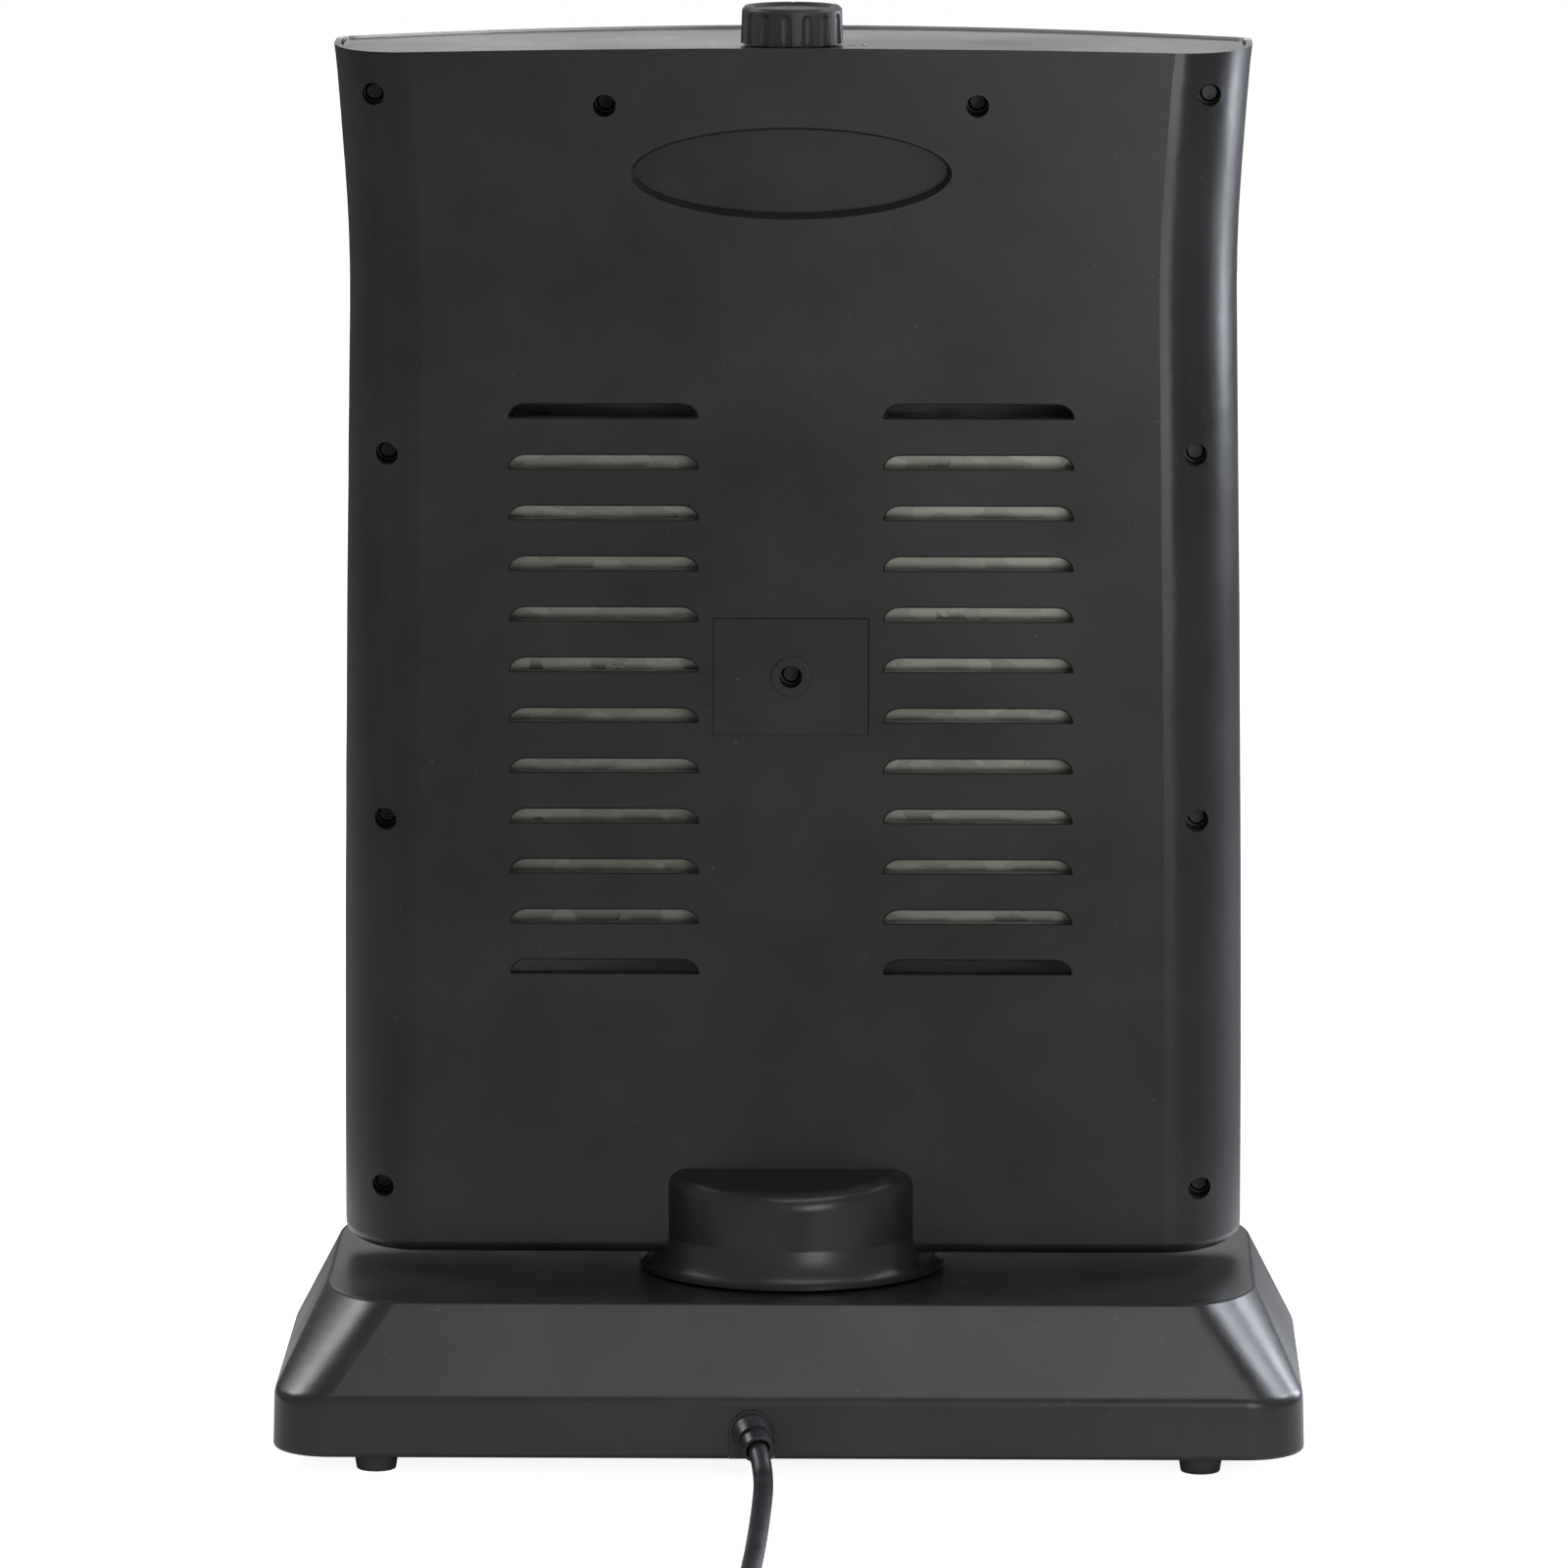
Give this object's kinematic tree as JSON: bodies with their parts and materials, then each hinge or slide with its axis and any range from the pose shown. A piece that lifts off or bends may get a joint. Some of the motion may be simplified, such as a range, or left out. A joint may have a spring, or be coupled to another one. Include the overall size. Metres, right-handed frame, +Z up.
{
  "type": "free-standing radiant heater",
  "caption": "Swivelling quartz-tube radiant heater in black plastic with a silver front frame, fluted rotary control, vented back, low wide base and a mains lead",
  "frame": {"origin": "On the floor under the swivel axis: the bottom centre of the bounding box without the mains lead, to within 3 mm front to back, at the lowest point of the feet", "axes": "+Z is up along the swivel axis; the heat leaves towards -Y; the vented back and the mains lead face +Y; +X is the heater's left seen from behind"},
  "size_m": [0.3858, 0.5659, 0.5404],
  "materials": {
    "black_plastic": "Satin charcoal-black moulded plastic with a fine spark-eroded grain",
    "silver_plastic": "Silver paint on plastic, smooth satin",
    "knob_plastic": "Black satin plastic, finer grain than the housing",
    "chrome_wire": "Bright chrome-plated steel wire",
    "bright_aluminium": "Mirror-rolled aluminium sheet",
    "galvanised_steel": "Zinc-coated sheet with faint spangle",
    "black_steel": "Black enamelled sheet steel",
    "cast_iron": "Sand-cast, coarse dull surface",
    "screw_steel": "Zinc-plated turned steel",
    "black_screws": "Black-oxide screws",
    "quartz": "Clear fused-quartz tube, slightly milky",
    "heating_wire": "Oxidised resistance wire",
    "ceramic": "White steatite, unglazed",
    "switch_black": "Black phenolic moulding",
    "terminal_plastic": "Natural nylon",
    "gear_plastic": "Natural acetal",
    "loom_sleeve": "Braided glass-fibre sleeve",
    "cord_rubber": "Black flexible sheath, satin",
    "tie_plastic": "Soft black hook-and-loop band",
    "plug_plastic": "Black moulded plug body",
    "plug_pins": "Nickel-plated brass pins",
    "foot_rubber": "Grey-black soft rubber"
  },
  "bodies": {
    "base": {"base_cover": "black_plastic", "base_plate": "black_steel", "base_screws": "black_screws", "coil_tie": "tie_plastic", "cord_clamp": "terminal_plastic", "cord_coil": "cord_rubber", "counterweight": "cast_iron", "fixed_gear": "gear_plastic", "foot_screws": "black_screws", "mains_cord": "cord_rubber", "plug": "plug_plastic", "plug_pins": "plug_pins", "rubber_foot_front_left": "foot_rubber", "rubber_foot_front_right": "foot_rubber", "rubber_foot_rear_left": "foot_rubber", "rubber_foot_rear_right": "foot_rubber", "spindle_bush": "gear_plastic", "strain_relief": "cord_rubber", "supply_lead": "cord_rubber", "thrust_washer": "gear_plastic", "tip_switch": "switch_black"},
    "head": {"bracket_screws": "screw_steel", "ceramic_holder_lower_left": "ceramic", "ceramic_holder_lower_right": "ceramic", "ceramic_holder_middle_left": "ceramic", "ceramic_holder_middle_right": "ceramic", "ceramic_holder_upper_left": "ceramic", "ceramic_holder_upper_right": "ceramic", "front_frame": "silver_plastic", "guard_grille": "chrome_wire", "heat_shield": "galvanised_steel", "heating_coil_lower": "heating_wire", "heating_coil_middle": "heating_wire", "heating_coil_upper": "heating_wire", "hollow_spindle": "screw_steel", "housing_screws": "black_screws", "quartz_tube_lower": "quartz", "quartz_tube_middle": "quartz", "quartz_tube_upper": "quartz", "rear_cover": "black_plastic", "reflector": "bright_aluminium", "retaining_collar": "screw_steel", "rotary_switch": "switch_black", "switch_nut": "screw_steel", "swivel_motor": "galvanised_steel", "swivel_plate": "galvanised_steel", "swivel_screws": "screw_steel", "terminal_block": "terminal_plastic", "thermal_cutout": "switch_black", "top_panel": "black_plastic", "tube_bracket_left": "galvanised_steel", "tube_bracket_right": "galvanised_steel", "wiring_loom": "loom_sleeve"},
    "knob": {"control_knob": "knob_plastic", "switch_shaft": "screw_steel"},
    "pinion": {"drive_pinion": "gear_plastic", "motor_shaft": "screw_steel"},
    "tip_plunger": {"tip_plunger": "gear_plastic", "tip_spring": "screw_steel"}
  },
  "joints": [
    {"name": "head_swivel", "type": "hinge", "parent": "base", "child": "head", "pos_m": [0, 0, 0.0715], "axis": [0, 0, 1], "range_deg": [-35, 35]},
    {"name": "knob_turn", "type": "hinge", "parent": "head", "child": "knob", "pos_m": [0, -0.002, 0.533], "axis": [0, 0, 1], "range_deg": [-135, 0]},
    {"name": "pinion_spin", "type": "hinge", "parent": "head", "child": "pinion", "pos_m": [0, 0.027, 0.0653], "axis": [0, 0, 1], "range_deg": [-125, 125]},
    {"name": "tip_plunger_slide", "type": "slide", "parent": "base", "child": "tip_plunger", "axis": [0, 0, -1], "range_m": [0, 0.005], "stiffness_N_per_m": 80, "springref_m": 0.008, "deforming": ["tip_spring"]}
  ],
  "couplings": [
    {"joint": "pinion_spin", "follows": "head_swivel", "ratio": 3.5}
  ]
}
